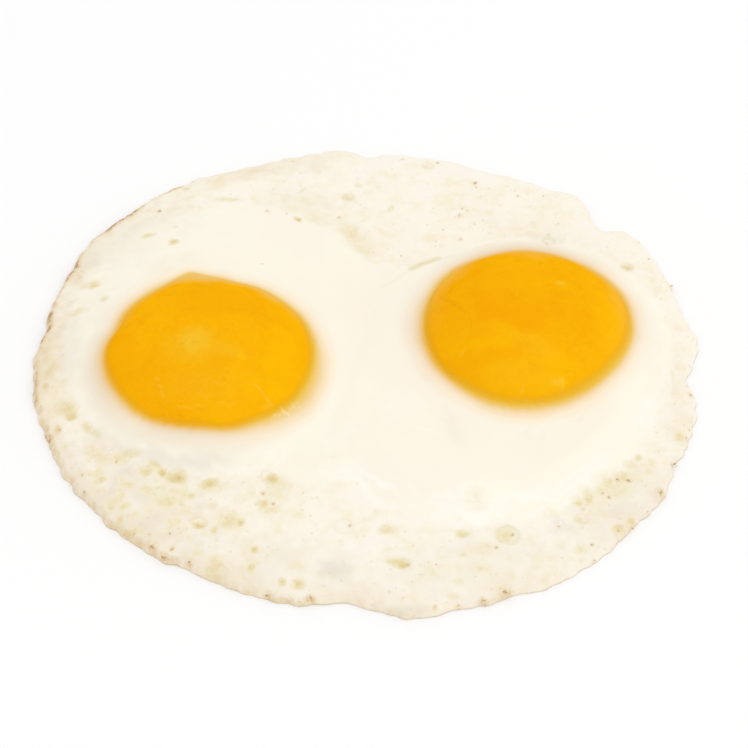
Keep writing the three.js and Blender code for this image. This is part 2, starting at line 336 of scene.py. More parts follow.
THICK_OVALS = [(-29.4, 6.7, 41, 33.9, 84), (26.2, -5.1, 44, 35.5, 63), (-8, -27, 11, 12, 80)]
SMOOTH_OVALS = [(-50, 30, 30, 16, 55, 0.75), (50, 24, 22, 12, -50, 0.5)]
PALE_LIT_BAND = (-62, 55, 4.2, 0.95)
POOLS = [
    # Left
    (-67.5, 2, 2.5, 2.5, 0, 0.6), (-65.5, -3.5, 1.5, 6, -20, 0.7), (-66, -8.5, 1.5, 2, 0, 1.1),
    (-61, -15.5, 5, 4, -40, 0.8), (-60, -17.5, 2.5, 2.5, 0, 1.1), (-56.5, -21, 3, 2, -50, 0.8),
    (-54.5, -23, 3, 2, -40, 0.7), (-62.5, -21, 1.5, 2.5, 0, 0.9), (-61, 12.5, 5, 2.5, 10, 0.6),
    (-55.5, 15, 2, 2.5, 0, 0.7), (-59.5, 21.5, 4, 2.5, 30, 0.6), (-58.5, 21, 3, 2.5, 20, 0.9),
    (-48, 37, 3, 2, 15, 0.8), (-42, 33.5, 2, 2.5, 0, 1.1), (-31, 50, 7, 2, 0, 0.5),
    # Lower left
    (-47.5, -29, 5, 2.5, 0, 0.7), (-49.5, -30, 3, 3, 0, 0.7), (-52.5, -35, 2, 2, 0, 0.8),
    (-47, -37, 4, 2, -15, 0.7), (-43.5, -33.5, 3, 2.5, 15, 0.8), (-42, -32, 3, 1.5, -35, 0.9),
    (-40.5, -34, 2, 2, 0, 1.1), (-37.5, -35, 4, 3, 5, 1.1), (-31, -36.5, 4, 2.5, 10, 1),
    (-39, -41.5, 6, 5, 15, 0.6), (-38.5, -42, 2, 2.5, 0, 0.8), (-34.5, -40, 2.5, 2, 40, 0.7),
    (-47.5, -42.5, 3, 2, 20, 0.7), (-50, -42.5, 1.5, 1.5, -40, 0.9), (-48, -45.5, 1.5, 2.5, 0, 0.9),
    (-45.5, -48.5, 3, 2, -20, 0.8), (-32.5, -48, 2.5, 2, 15, 1.1), (-29.5, -49, 1.5, 3, -15, 0.8),
    (-26.5, -46.5, 5, 5, 0, 0.7), (-24.5, -47, 1.5, 2, 0, 1.1), (-29, -58, 4, 6, 0, 0.7),
    (-28.5, -60, 2, 2, 0, 0.9), (-22.5, -39, 8, 7, 0, 0.3), (-29.5, -37.5, 8, 4, 0, 0.4),
    # Front
    (-18.5, -35.5, 2.6, 2.5, 0, 1.1), (-17.5, -38, 8, 9, 0, 0.42), (-20, -42, 2.5, 2.5, 0, 0.9),
    (-18.8, -43.6, 5, 3.4, 20, 0.5), (-13.6, -45, 5, 3, -10, 0.32), (4, -49, 4, 3, 0, 0.6),
    (6, -57.5, 5, 2.5, -20, 0.8), (7, -58, 2, 2, 0, 1.1), (-21.5, -54, 2, 2, 0, 0.9),
    (-22, -58.5, 2.5, 2, 60, 0.8), (-16, -62, 1.5, 2, 0, 0.9), (-13, -62.5, 2.5, 2.5, 0, 0.9),
    (18.5, -50, 3, 2.4, 0, 0.7), (18.5, -55.5, 1.8, 2, 0, 0.6), (17, -49, 8, 1.4, 0, 0.25),
    (22.5, -54, 8, 6, 0, 0.4), (27, -50.5, 4, 5, 0, 0.65), (27.5, -56.5, 3, 2, -40, 0.35),
    (22, -59, 5, 2.8, 0, 0.5), (17.5, -62, 3, 2, 0, 0.42), (16.5, -65.5, 2.5, 1.5, 0, 0.5),
    (41, -53.5, 3, 2.5, 0, 0.5), (34, -61, 3, 2.5, 30, 0.35), (-53.5, -29, 8, 4, -35, 0.5),
    (21.5, -43.1, 5, 6.5, 0, 0.32),
    # Right
    (49, -48, 2.5, 2.5, 0, 0.75), (41.5, -46.5, 3, 2.4, 0, 0.5), (51.5, -45.5, 2, 3, 0, 0.8),
    (41.5, -42, 2, 2, 0, 0.7), (43.5, -40.5, 2, 4, 0, 0.75), (46, -38.5, 3, 3, 40, 0.5),
    (47.5, -36.5, 3, 4, 0, 0.6), (50.5, -35, 5, 3, 35, 0.65), (50, -38.5, 5, 4, 0, 0.45),
    (52.5, -31.5, 4, 3, 40, 0.5), (54, -29.5, 1.5, 2, 0, 0.7), (56.5, -31, 3, 4, 0, 0.4),
    (63, -23, 3, 4, 0, 0.6), (63, -7, 1.5, 9, 0, 0.35), (49.5, -37.5, 17, 8, 42, 0.4),
    (56, 27, 2.5, 2, 0, 0.9),
    # Back
    (-14.5, 53, 3, 1.5, 50, 0.45), (-4.5, 51, 2.5, 2.5, 0, 0.7), (-2, 55, 2, 2.5, 30, 0.45),
    (-15, 46.5, 11, 6, -20, 0.28), (-11.5, 43.5, 9, 5, -20, 0.32), (-15.5, 43, 2, 1.5, -40, 0.9),
    (-3.5, 38.5, 10, 5, -45, 0.48), (-2.5, 40, 2, 2, 0, 0.55), (-1, 33.5, 8, 4, -40, 0.42),
    (5, 47, 2, 2.5, 0, 0.4), (-15, 50, 6, 4, 0, 0.3), (13.5, 62, 3.5, 3, 0, 0.4),
    (26, 34, 5, 2, 15, 0.3), (33, 33.5, 8, 1.5, 0, 0.25),
]
# Smudges: greyish, in part painted shade on the left
SMUDGES = [
    (-6, -59.3, 6.5, 5, 0, 1.0), (37.5, -48, 4, 4, 0, 0.6), (-48.5, -26.8, 9, 3, -30, 0.6),
    (-41.5, -30.3, 10, 3.2, -25, 0.85), (-34, -32, 12, 3.4, -5, 0.85), (-28.5, -32.2, 6, 2.5, 0, 0.4),
    (-53, -24, 8, 4, -50, 0.4), (39.5, 36, 7, 4, 0, 0.4), (50, -43, 7, 3, 20, 0.35),
    (8, -68.5, 9, 2.2, 0, 0.8), (-62, 2, 5, 26, 5, 0.4), (-28, -27.5, 3, 2, 0, 0.4),
    (17.3, -25, 3.4, 11, 15, 0.3), (-58.5, -38, 10, 5, -50, 0.4), (-60, 30, 6, 16, -30, 0.35),
]
# Tan places: golden, and in part painted shade on the left and, at (30, 29), behind the right yolk's dome
TAN_AND_SHADED_PLACES = [
    (-25, 60, 18, 5.5, 20, 0.65), (-33, 57, 12, 5, 28, 0.5), (32, 36.5, 14, 3, 0, 0.3),
    (39.5, 36, 4.5, 3, 0, 0.4), (-66, -4, 12, 58, 0, 0.5), (-65.5, -1, 6, 17, 0, 0.9),
    (-15, 62, 18, 6, 8, 0.4), (-63, 24, 6, 12, -15, 0.6), (12.8, -10.2, 2.6, 2.4, 0, 1.4),
    (58, -38, 4, 4, 0, 0.4), (-42.5, -23.6, 20, 6, -14, 1.0), (30, 29, 34, 10, 0, 0.6),
    (-42, 24, 12, 9, 30, 0.8), (-52, -27.5, 9, 6, -40, 0.5),
]
# Darker places: partly a duller, thinner white and partly painted shade
DULL_AND_SHADED_PLACES = [
    (-47, -43, 46, 28, -38, 0.95), (-20, -57, 44, 15, -6, 0.5), (-34, -28.5, 26, 8, -8, 0.55),
    (18, -58, 50, 14, 8, 0.45), (50, -42, 36, 14, 45, 0.6), (-52, 36, 36, 18, 50, 0.7),
    (-14, 50, 17, 8, -15, 0.3), (-3, 38.5, 12, 6, -50, 0.3), (62, -10, 8, 30, 0, 0.4),
    (-47, -22, 22, 12, -35, 0.5), (-58, 10, 12, 36, -8, 0.55), (-25, -26, 12, 7, 0, 0.35),
    (36, 40, 26, 7, -20, 0.3),
]
# Foam: clusters of tiny bubbles whose glints are painted as bright dots
FOAM_GLINTS = [
    (-55.5, -30.8, 7, 9, -50, 1), (-52, -28.5, 6, 4, -40, 0.7), (-40.5, -40.1, 5, 5, 0, 0.8),
    (-31.4, -49.4, 6, 7, 60, 1), (-21, -38.8, 8, 4, 0, 0.8), (35.4, -47, 11, 7, 20, 0.9),
    (-36, -52, 10, 6, -20, 0.6), (9, -46, 16, 3.5, 0, 0.7), (24, -55, 8, 6, 0, 0.6), (49, -44, 8, 6, 40, 0.5),
    (-7, 46, 14, 8, -20, 0.5), (53, 30, 12, 9, -40, 0.4),
]

# Bubbles that set, with a raised rim (x, y, radius, strength)

GHOSTS = [
    (27.3, -50.5, 2.2, 1.0), (-4.3, 51.3, 1.3, 0.8), (-32.4, -47.3, 1.4, 0.8), (-4.4, -48, 1.9, 0.6),
    (51.7, -46.6, 1.1, 0.8), (57.6, -38.6, 0.9, 1.0), (39.6, 35.6, 1.3, 1.0), (42, -46, 1.2, 0.6),
    (-28.6, -59.5, 2.0, 0.8), (56, 27.2, 1.3, 0.8), (7.3, -57.6, 1.1, 0.8), (-37.5, -34.8, 1.7, 0.8),
    (49, -48.5, 1.2, 1.0), (-19.6, -34.8, 1.3, 0.8), (13.7, 62.3, 1.3, 0.6),
    (12.8, -10.2, 1.4, 0.4), (33.5, -26.5, 1.7, 0.25), (41.7, -21.7, 1.5, 0.25),
]

# Lines: strands of set white stand up and are paler, folds are grooves, and one fold holds a pool
# (points, width, strength).
# Halos are paler rings and spots (x, y, radius, width, strength).

STRANDS = [
    ([(7.3, -17), (4.2, -19.3), (1.8, -24.7)], 0.35, 0.8),
    ([(4.2, -19.3), (7, -22.7), (9.4, -24.4), (12.2, -25.3), (14.6, -26.4)], 0.4, 0.8),
    ([(-55, -19), (-48.2, -26.4), (-43.1, -28.6), (-37.1, -29.6), (-32.1, -31.5)], 0.8, 0.6),
    ([(-33, -30.2), (-28, -33.8), (-24, -34.6), (-20.7, -34.4)], 0.4, 0.8),
    ([(-27.5, -33), (-22, -32.6), (-15, -33.5)], 0.35, 0.6),
    ([(3, -46.5), (8, -47.2), (13.3, -46.4), (20, -47.6), (27, -45.8)], 0.7, 0.6),
    ([(9, -41.8), (12.3, -42.2), (16.5, -41.6)], 0.6, 0.5),
    ([(5.6, -44.2), (8.4, -43)], 0.7, 0.6),
]
HALOS = [
    (21.5, -43.1, 3.3, 1.1, 0.55), (-1, -57, 0, 4, 0.4), (6.6, -18, 0, 4.5, 0.5), (-4.5, -25, 0, 4, 0.5),
    (-1.5, -12, 0, 4.5, 0.35), (-52, -27, 0, 2.5, 0.4),
]
FOLDS = [
    ([(3.8, 20.9), (7, 23.6), (9.6, 26.4), (15, 29.7), (17.2, 30), (20, 30.7)], 0.5, 0.7),
]
FOLD_POOL = ([(9.6, 26.6), (12, 28.1), (15.2, 29.5)], 1.0, 0.62)

# Torn ends of the film that lie on the white (points, width, strength)

WISPS = [
    ([(-17.2, -20.2), (-16.3, -20.9), (-15.6, -21.4)], 0.18, 0.55),
    ([(-15.7, -20.6), (-14.9, -19.2), (-13.9, -17.9)], 0.16, 0.45),
    ([(-14.7, -19.1), (-13.6, -19.3)], 0.2, 0.6), ([(-16.9, -21.4), (-18.6, -22)], 0.22, 0.6),
]

# Browned specks (x, y, width), each on a wider singed spot, and where the edge has a browned line,
# a thicker crust and a tan margin (direction, spread, strength). At the back the line lies
# further in.

SPECKS = [
    (-49.8, -30.7, 0.5), (-56.4, -33.6, 0.45), (-55.7, -38, 0.6), (-58.8, -36, 0.45), (-41.4, -52.5, 1.4),
    (-34, -56.5, 0.9), (-39.1, -55, 1.2), (-19, -64.7, 1.1), (-24.2, -63.6, 0.45), (-10.5, -65.5, 0.9),
    (-47, -49, 0.6), (-45, -49.2, 0.5), (-42, -49.6, 0.5), (-37.4, -53.4, 0.6), (-20.4, -39.4, 0.6),
    (-18.3, -42, 0.5), (-3.3, -47.7, 0.6), (-62, -21, 0.6), (-38, -49.8, 0.5), (-43.2, -32.5, 0.5),
    (-37, -35, 0.5), (61.4, -30, 1.0), (58, -38, 1.1), (42.1, -43.5, 0.55), (49.4, -35.4, 0.7),
    (51.7, -35.8, 0.7), (46.3, -39.2, 0.5), (47.5, -40.2, 0.6), (51.6, -47.4, 0.7), (43.4, -52.3, 0.6),
    (28.2, -50.2, 0.5), (24.9, -53.7, 0.5), (26.2, -63.9, 1.5), (17.4, -67.2, 0.7), (22.2, -66, 0.8),
    (7.9, -57.9, 0.5), (12.8, -67.8, 0.6), (43.8, -55.7, 0.6), (66.3, -10.8, 0.7), (65.2, -20.6, 0.4),
    (48.8, -48.4, 0.5), (-61.7, 24.5, 0.8), (-61.4, 26.5, 0.4), (-45.9, 46.5, 0.8), (-40.6, 54.6, 0.8),
    (-22.2, 46, 0.7), (-17.9, 45, 0.4), (-15.1, 42.7, 0.7), (-6.3, 44.2, 0.45), (-46.2, 37.4, 0.4),
    (-42, 40.2, 0.4), (-22.4, 24.5, 0.3), (24, 56, 0.7), (24.2, 54.4, 0.4), (7.8, 65, 0.5),
    (33.4, 51.6, 0.45), (39.1, 52, 0.4), (20.9, 47, 0.5), (20.4, 44.6, 0.7), (16.6, 39.9, 0.4),
    (20.2, 36.4, 0.7), (7.3, 31.4, 0.35), (39.5, 38.3, 0.5), (39, 34.6, 0.5), (65.3, 22.8, 0.8),
    (15.8, 63.9, 0.5), (61, 31.2, 0.45), (55, -43, 0.4), (37.2, -48.2, 0.4), (64.4, -22.8, 0.4),
]
STRAY_SPECKS = 30
SINGED_WIDTHS = 2.2
EDGE_BROWNING = [
    (108, 10, 0.15), (130, 6, 0.7), (141, 8, 1.0), (157, 7, 0.85), (171, 8, 0.85), (186, 10, 0.6),
    (200, 9, 0.55), (215, 9, 0.45), (225, 8, 0.5), (234, 5, 0.45), (247, 7, 0.35), (257, 6, 0.45),
    (272, 10, 0.25), (291, 5, 0.25), (318, 8, 0.15), (336, 4, 0.2), (20, 5, 0.12), (354, 5, 0.12),
]
EDGE_CRUST = [
    (141, 5, 0.42), (156.5, 4, 0.35), (170, 5, 0.3), (185, 5, 0.2), (199, 6, 0.16), (234, 5, 0.2),
    (258, 4, 0.12), (289, 4, 0.12),
]
EDGE_MARGIN = [
    (110, 16, 0.5), (150, 14, 0.55), (180, 14, 1.1), (203, 14, 0.7), (225, 14, 0.6), (248, 12, 0.65),
    (270, 12, 0.6), (290, 10, 0.45), (318, 10, 0.3), (345, 12, 0.15),
]
LEAST_BROWNING = 0.03
BROWN_LINE_WIDTH = 0.8
CRUST_WIDTH = 1.6
MARGIN_WIDTH = 6
INSET_AT_BACK = 1.0

# The ruffled edge, with stretches that stand further in (direction, reach, width)

RUFFLE = 0.5
SCALLOP_SIZE = 5.2
FRILL_SIZE = 1.7
EDGE_TRIMS = [(243, -0.5, 6), (270, -0.9, 5), (281, -0.5, 6), (292, -0.35, 6)]

# Small ups and downs of the white. Lumps are (height, size, seed).

THIN_LUMPS = [(0.15, 5.0, 41), (0.1, 2.3, 42), (0.05, 1.2, 43)]
THICK_LUMPS = [(0.07, 8.0, 44)]
POOL_DEPTH = 0.2
BUBBLE_RIM_HEIGHT = 0.1
BUBBLE_RIM_WIDTH = 0.32
BUBBLE_DEPTH = 0.08
STRAND_HEIGHT = 0.07
FOLD_DEPTH = 0.22

# The film round a yolk: where a wide stretch of it and the blush with its painted shade end, and how deep its
# rim is torn

FILM_END = 6
BLUSH_AND_SHADE_END = 10
TORN_DEPTH = 0.22


def soft_spot(away):
    return ease(away, 1.5, 0.3)


def crisp_spot(away):
    return ease(away, 1.12, 0.82)


def deep_spot(away):
    """A wide soft surround with a darker middle."""
    return 0.7 * ease(away, 1.85, 0.35) + 0.38 * bell(away, 0.5)


def spots(x, y, places, roughen, seed, rounding):
    """The strongest of a list of uneven ovals at each point, shaded inward by a rounding rule."""
    warp = roughen * rough(x, y, [(1, 2.4, seed), (0.5, 1.1, seed + 1)])
    total = 0 * x
    for px, py, length, width, turn, strength in places:
        near = np.hypot(x - px, y - py) < 1.2 * max(length, width)
        away = oval(x[near], y[near], (px, py), length / 2, width / 2, turn) + warp[near]
        total[near] = np.maximum(total[near], strength * rounding(away))
    return total


def ghost_bubbles(x, y):
    """How far each point is on the raised rim of a set bubble, and how far inside it."""
    rim = 0 * x
    inside = 0 * x
    for px, py, radius, strength in GHOSTS:
        near = np.hypot(x - px, y - py) < radius * 2 + 1
        away = np.hypot(x[near] - px, y[near] - py) * (1 + 0.12 * noise(x[near], y[near], 1.5, 81))
        rim[near] = np.maximum(rim[near], strength * bell(away - radius, BUBBLE_RIM_WIDTH))
        inside[near] = np.maximum(inside[near], strength * ease(away, radius, radius * 0.6))
    return rim, inside


def lines(x, y, paths):
    """How far each point is on one of a few slightly wavering lines."""
    u = x + 0.35 * noise(x, y, 2.2, 85)
    v = y + 0.35 * noise(x, y, 2.2, 86)
    total = 0 * x
    for path, width, strength in paths:
        total = np.maximum(total, strength * bell(path_distance(u, v, path), width))
    return total


def halos(x, y):
    total = 0 * x
    for px, py, radius, width, strength in HALOS:
        total = np.maximum(total, strength * bell(np.hypot(x - px, y - py) - radius, width))
    return total * (0.75 + 0.8 * noise(x, y, 2.0, 83))


def thick_inset(x, y):
    """Distance inside the thick white's edge, and below 0 outside it."""
    inset = -99 + 0 * x
    for mx, my, length, width, turn in THICK_OVALS:
        inset = np.maximum(inset, oval_inset(x, y, (mx, my), length, width, turn))
    return inset + rough(x, y, [(1.2, 5.0, 11), (0.8, 2.2, 12)])


def thin_share(x, y):
    """1 on the bubbly thin white, 0 on the smooth thick white."""
    share = ease(thick_inset(x, y), 1.2, -1.2)
    return share * (1 - spots(x, y, SMOOTH_OVALS, 0.3, 13, soft_spot))


def pale_lit_band(x, y):
    """The paler, streaky margin of the thick white on its front right side, partly painted light on the
    shoulder there.
    """
    at, spread, width, strength = PALE_LIT_BAND
    degrees = direction(x, y)
    inset = thick_inset(x, y)
    band = bell(turn_between(degrees, at), spread) * ease(inset, -1.2, 0.8)
    streaks = ease(noise(inset + 40, 0.1 * degrees, 1.3, 84), -0.45, 0.6)
    return strength * band * ease(inset, width + 2, width - 1.5) * streaks


def edge_trim(degrees):
    """How far the ruffled edge stands out from the plain outline, or inside it."""
    x, y = polar(degrees, WHITE_RADIUS)
    scallops = 2.2 * np.abs(noise(x, y, SCALLOP_SIZE, 51)) - 1.4
    ruffle = RUFFLE * (scallops + 0.3 * noise(x, y, FRILL_SIZE, 52))
    return ruffle + bulges(EDGE_TRIMS, degrees)


def edge_browning(x, y):
    """The browned line along the edge, and the wider tan margin inside it."""
    degrees = direction(x, y)
    inset = edge_inset(x, y) + edge_trim(degrees)
    line = np.maximum(around(EDGE_BROWNING, degrees), LEAST_BROWNING)
    line = line * (0.85 + 0.8 * noise(x, y, 1.6, 21))
    crust = around(EDGE_CRUST, degrees) * (0.75 + rough(x, y, [(0.6, 2.6, 22), (0.4, 1.2, 23)]))
    past = np.maximum(inset - INSET_AT_BACK * (1 + np.sin(np.radians(degrees))) / 2, 0)
    brown = np.clip(line, 0, 1) * bell(past, BROWN_LINE_WIDTH)
    brown = brown + np.clip(crust, 0, 1) * bell(past, CRUST_WIDTH)
    depth = inset / MARGIN_WIDTH + 0.12 * noise(x, y, 3.0, 24)
    return brown, around(EDGE_MARGIN, degrees) * ease(depth, 1, 0)


def yolk_film(x, y):
    """Distance beyond the nearer yolk's rim, stretched where the film is wide, and the blush there, partly
    painted shade.
    """
    film = 99 + 0 * x
    blush_and_shade = 0 * x
    for yolk in YOLKS.values():
        degrees, beyond, reach = from_yolk(yolk, x, y)
        width = 1 + 0 * x
        further = 0 * x
        for at, wider, out, spread in yolk["film"]:
            part = bell(turn_between(degrees, at), spread)
            width = width + wider * part
            further = further + out * part
        torn = around(yolk["ragged"], degrees) * rough(x, y, [(1, 1.6, 35), (0.5, 0.7, 36)])
        past = beyond - further + TORN_DEPTH * torn
        width = 1 + (width - 1) * ease(past, FILM_END, FILM_END / 3)
        film = np.minimum(film, np.where(past > 0, past / width, past) * (1 + 0.1 * noise(x, y, 5.0, 31)))
        near = ease(beyond, BLUSH_AND_SHADE_END, BLUSH_AND_SHADE_END / 2)
        blush_and_shade = np.maximum(blush_and_shade, around(yolk["blush_and_shade"], degrees) * near)
    return film, blush_and_shade


def yolk_veil_and_sheen(yolk, x, y, film):
    """How much of the milky film lies over a yolk, which on its far side is also painted sheen. It reaches
    less far in where it is weaker.
    """
    degrees, beyond, reach = from_yolk(yolk, x, y)
    end, full = yolk["veil_and_sheen_reach"]
    share = yolk["veil_and_sheen_share_at_rim"]
    amount = around(yolk["veil_and_sheen"], degrees)
    inset = 1.2 * noise(x, y, 5.0, 33) - beyond
    inward = ease(inset, end * (0.25 + 0.75 * amount), full * amount)
    inward = inward * (share + (1 - share) * ease(inset, 0, 5))
    return amount**0.7 * inward * ease(film, 0.9, 0)


def relief(x, y, pool, thin):
    """Lumps, sunk pools, set bubbles, strands and folds."""
    calm = ease(edge_inset(x, y), 0.3, 2.5)
    rim, inside = ghost_bubbles(x, y)
    height = calm * thin * (rough(x, y, THIN_LUMPS) - POOL_DEPTH * pool)
    height = height + (1 - thin) * rough(x, y, THICK_LUMPS)
    height = height + BUBBLE_RIM_HEIGHT * rim - BUBBLE_DEPTH * inside
    return height + STRAND_HEIGHT * lines(x, y, STRANDS) - FOLD_DEPTH * lines(x, y, FOLDS)


# Meshes: bodies made of rings of points, where the next ring has as many points or half as many


def ring_faces(first, count, next_first, next_count, rim):
    """Triangles between two rings of point numbers. A pair across that is on a rim is joined."""
    step = count // next_count
    here = np.arange(0, count, step)
    a = first + here
    b = first + (here + 1) % count
    c = next_first + (here // step)
    d = next_first + (here // step + 1) % next_count
    if step == 2:
        e = first + (here + 2) % count
        return np.concatenate([np.stack(t, 1) for t in ((a, b, c), (b, e, d), (b, d, c))])
    across = (rim[a] & rim[d])[:, None]
    one = np.where(across, np.stack((a, b, d), 1), np.stack((a, b, c), 1))
    two = np.where(across, np.stack((a, d, c), 1), np.stack((b, d, c), 1))
    return np.concatenate([one, two])


def ring_body(bottom, rings, top, rim):
    """A closed body from its underside's middle, out along the rings and back over to its top's middle."""
    starts = np.cumsum([1] + [len(ring) for ring in rings])
    points = np.concatenate([[bottom], *rings, [top]])
    faces = []
    for k in range(len(rings) - 1):
        here, ahead = len(rings[k]), len(rings[k + 1])
        if ahead <= here:
            faces.append(ring_faces(starts[k], here, starts[k + 1], ahead, rim))
        else:
            faces.append(ring_faces(starts[k + 1], ahead, starts[k], here, rim)[:, ::-1])
    inner = np.arange(len(rings[0]))
    faces.append(np.stack([0 * inner, 1 + (inner + 1) % len(inner), 1 + inner], 1))
    outer = np.arange(len(rings[-1]))
    last = 0 * outer + len(points) - 1
    faces.append(np.stack([starts[-2] + outer, starts[-2] + (outer + 1) % len(outer), last], 1))
    return points, np.concatenate(faces)


def mesh_object(name, points, faces, masks, material, sharp):
    mesh = bpy.data.meshes.new(name)
    mesh.from_pydata((points * MM).tolist(), [], faces.tolist())
    mesh.polygons.foreach_set("use_smooth", np.ones(len(faces), bool))
    for key, values in masks.items():
        layer = mesh.attributes.new(key, "FLOAT", "POINT")
        layer.data.foreach_set("value", np.asarray(values, np.float32))
    mesh.set_sharp_from_angle(angle=math.radians(sharp))
    mesh.materials.append(material)
    mesh.validate()
    piece = bpy.data.objects.new(name, mesh)
    bpy.context.scene.collection.objects.link(piece)
    return piece


# The white, from the middle of its underside out and back over the top. Underside rings are
# (points round, share of the radius), lip rings are (inset, height) and inner rings are (first and
# last share of what is left, rings, times coarser). Points this near a yolk's rim snap onto it.

WHITE_SECTORS = 960
UNDERSIDE_RINGS = [(60, 0.2), (120, 0.45), (240, 0.7), (480, 0.9)]
LIP_RINGS = [(0.6, 0), (0.15, 0.01), (0, 0.06), (0.08, 0.3), (0.3, 0.75), (0.58, 1.08)]
FINE_START = 0.85
FINE_STEP = 0.42
MIDDLE_START = 22
MIDDLE_STEP = 0.58
FINE_ZONE = 34.5
INNER_RINGS = [(0.98, 0.52, 27, 2), (0.5, 0.27, 14, 4), (0.25, 0.02, 12, 8)]
SNAP = 0.38


def white_rings():
    """Rings as (points round, share, inset, height). A ring lies at that share of the radius less
    the inset, and without a height it is on the top surface."""
    rings = [(sectors, share, 0, 0) for sectors, share in UNDERSIDE_RINGS]
    rings += [(WHITE_SECTORS, 1, inset, z) for inset, z in LIP_RINGS]
    fine = np.arange(FINE_START, MIDDLE_START, FINE_STEP)
    middle = np.arange(MIDDLE_START, FINE_ZONE, MIDDLE_STEP)
    rings += [(WHITE_SECTORS, 1, inset, None) for inset in (*fine, *middle)]
    for first, last, count, coarser in INNER_RINGS:
        for share in np.linspace(first, last, count):
            rings.append((WHITE_SECTORS // coarser, share, FINE_ZONE, None))
    return rings


def ring_points(sectors, share, inset):
    degrees = 360 * np.arange(sectors) / sectors
    return polar(degrees, share * (edge_radius(degrees) + edge_trim(degrees) - inset))


def snapped(x, y):
    """Points close to a yolk's rim are moved onto it. Gives the points and which are on a rim."""
    on_rim = np.zeros(len(x), bool)
    for yolk in YOLKS.values():
        degrees, beyond, reach = from_yolk(yolk, x, y)
        near = np.abs(beyond) < SNAP
        rim_x, rim_y = on_rim_point(yolk, degrees, reach)
        x = np.where(near, rim_x, x)
        y = np.where(near, rim_y, y)
        on_rim |= near
    return x, y, on_rim


def white_masks(x, y):
    thin = thin_share(x, y)
    dull_and_shade = spots(x, y, DULL_AND_SHADED_PLACES, 0.35, 74, soft_spot)
    clouds = rough(x, y, [(1, 4.4, 61), (0.5, 2.1, 62), (0.2, 1.1, 63)]) + 0.75 * dull_and_shade
    scattered = (0.3 + 0.2 * dull_and_shade) * ease(clouds, 0.3, 1.3) * thin * ease(edge_inset(x, y), 0.5, 3)
    fold, width, depth = FOLD_POOL
    fold_pool = depth * bell(path_distance(x, y, fold), width)
    pool = np.maximum(spots(x, y, POOLS, 0.22, 71, deep_spot), np.maximum(scattered, fold_pool))
    singed = [(px, py, wide * SINGED_WIDTHS, wide * SINGED_WIDTHS, 0, 0.8) for px, py, wide in SPECKS]
    film, blush_and_shade = yolk_film(x, y)
    brown, margin = edge_browning(x, y)
    tan_and_shade = spots(x, y, TAN_AND_SHADED_PLACES, 0.35, 75, soft_spot) * (0.8 + 0.7 * noise(x, y, 3.2, 66))
    return {
        "thin": thin,
        "pool": pool,
        # Smudges, with the grey along the fold, which is painted shade in its groove
        "smudge_and_shade": np.maximum(spots(x, y, SMUDGES, 0.35, 73, soft_spot), 0.4 * lines(x, y, FOLDS)),
        "tan_and_shade": np.clip(tan_and_shade, 0, 1.3) * (0.3 + 0.7 * thin),
        "dull_and_shade": dull_and_shade * (0.8 + rough(x, y, [(0.5, 6.0, 64), (0.3, 2.6, 65)])) * (0.5 + 0.5 * thin),
        "foam_glints": spots(x, y, FOAM_GLINTS, 0.4, 76, soft_spot) * thin,
        "singed": spots(x, y, singed, 0.3, 77, soft_spot),
        # Pale: strands and halos, and the band with its painted light on the shoulder
        "pale": np.maximum(0.5 * lines(x, y, STRANDS), np.maximum(halos(x, y), pale_lit_band(x, y))),
        "wisp": lines(x, y, WISPS),
        "ghost": ghost_bubbles(x, y)[0],
        "brown": brown,
        "margin": margin,
        "film": np.clip(film, -5, 20),
        "blush_and_shade": blush_and_shade,
    }


def build_white(material):
    rings = []
    rims = [[False]]
    heights = [[0.0]]
    for sectors, share, inset, z in white_rings():
        x, y = ring_points(sectors, share, inset)
        on_rim = np.zeros(sectors, bool)
        if z is None:
            x, y, on_rim = snapped(x, y)
        rings.append(np.stack([x, y, 0 * x], 1))
        rims.append(on_rim)
        heights.append(np.full(sectors, np.nan) if z is None else z * sheet_height(x, y) / LIP_THICKNESS)
    on_rim = np.concatenate([*rims, [False]])
    height = np.concatenate([*heights, [np.nan]])
    points, faces = ring_body((0, 0, 0), rings, (0, 0, 0), on_rim)
    x, y = points[:, 0], points[:, 1]
    masks = white_masks(x, y)
    top = skin_height(x, y) + relief(x, y, masks["pool"], masks["thin"]) * ease(masks["film"], 0, 2.5)
    for yolk in YOLKS.values():
        inside = (from_yolk(yolk, x, y)[1] < 0) & ~on_rim
        top = np.where(inside, hollow_height(yolk, x, y, YOLK_UNDERSIDE - POCKET_GAP), top)
    points[:, 2] = np.where(np.isnan(height), top, height)
    masks["under"] = ease(points[:, 2], 0.12, 0.02)
    return mesh_object("fried_white", points, faces, masks, material, 40)


# The yolks. Marks are (x, y, length, width, turn, strength): pale spots, brighter yellow ones, which
# are partly painted light on the sides that face the softbox, deeper orange ones, which are partly
# painted shade on the sides away from it, and crisp ones where the film is gone. Dots are (x, y,
# width). Lines are (points, width, strength): strands of film stand up, and creases are sunk.

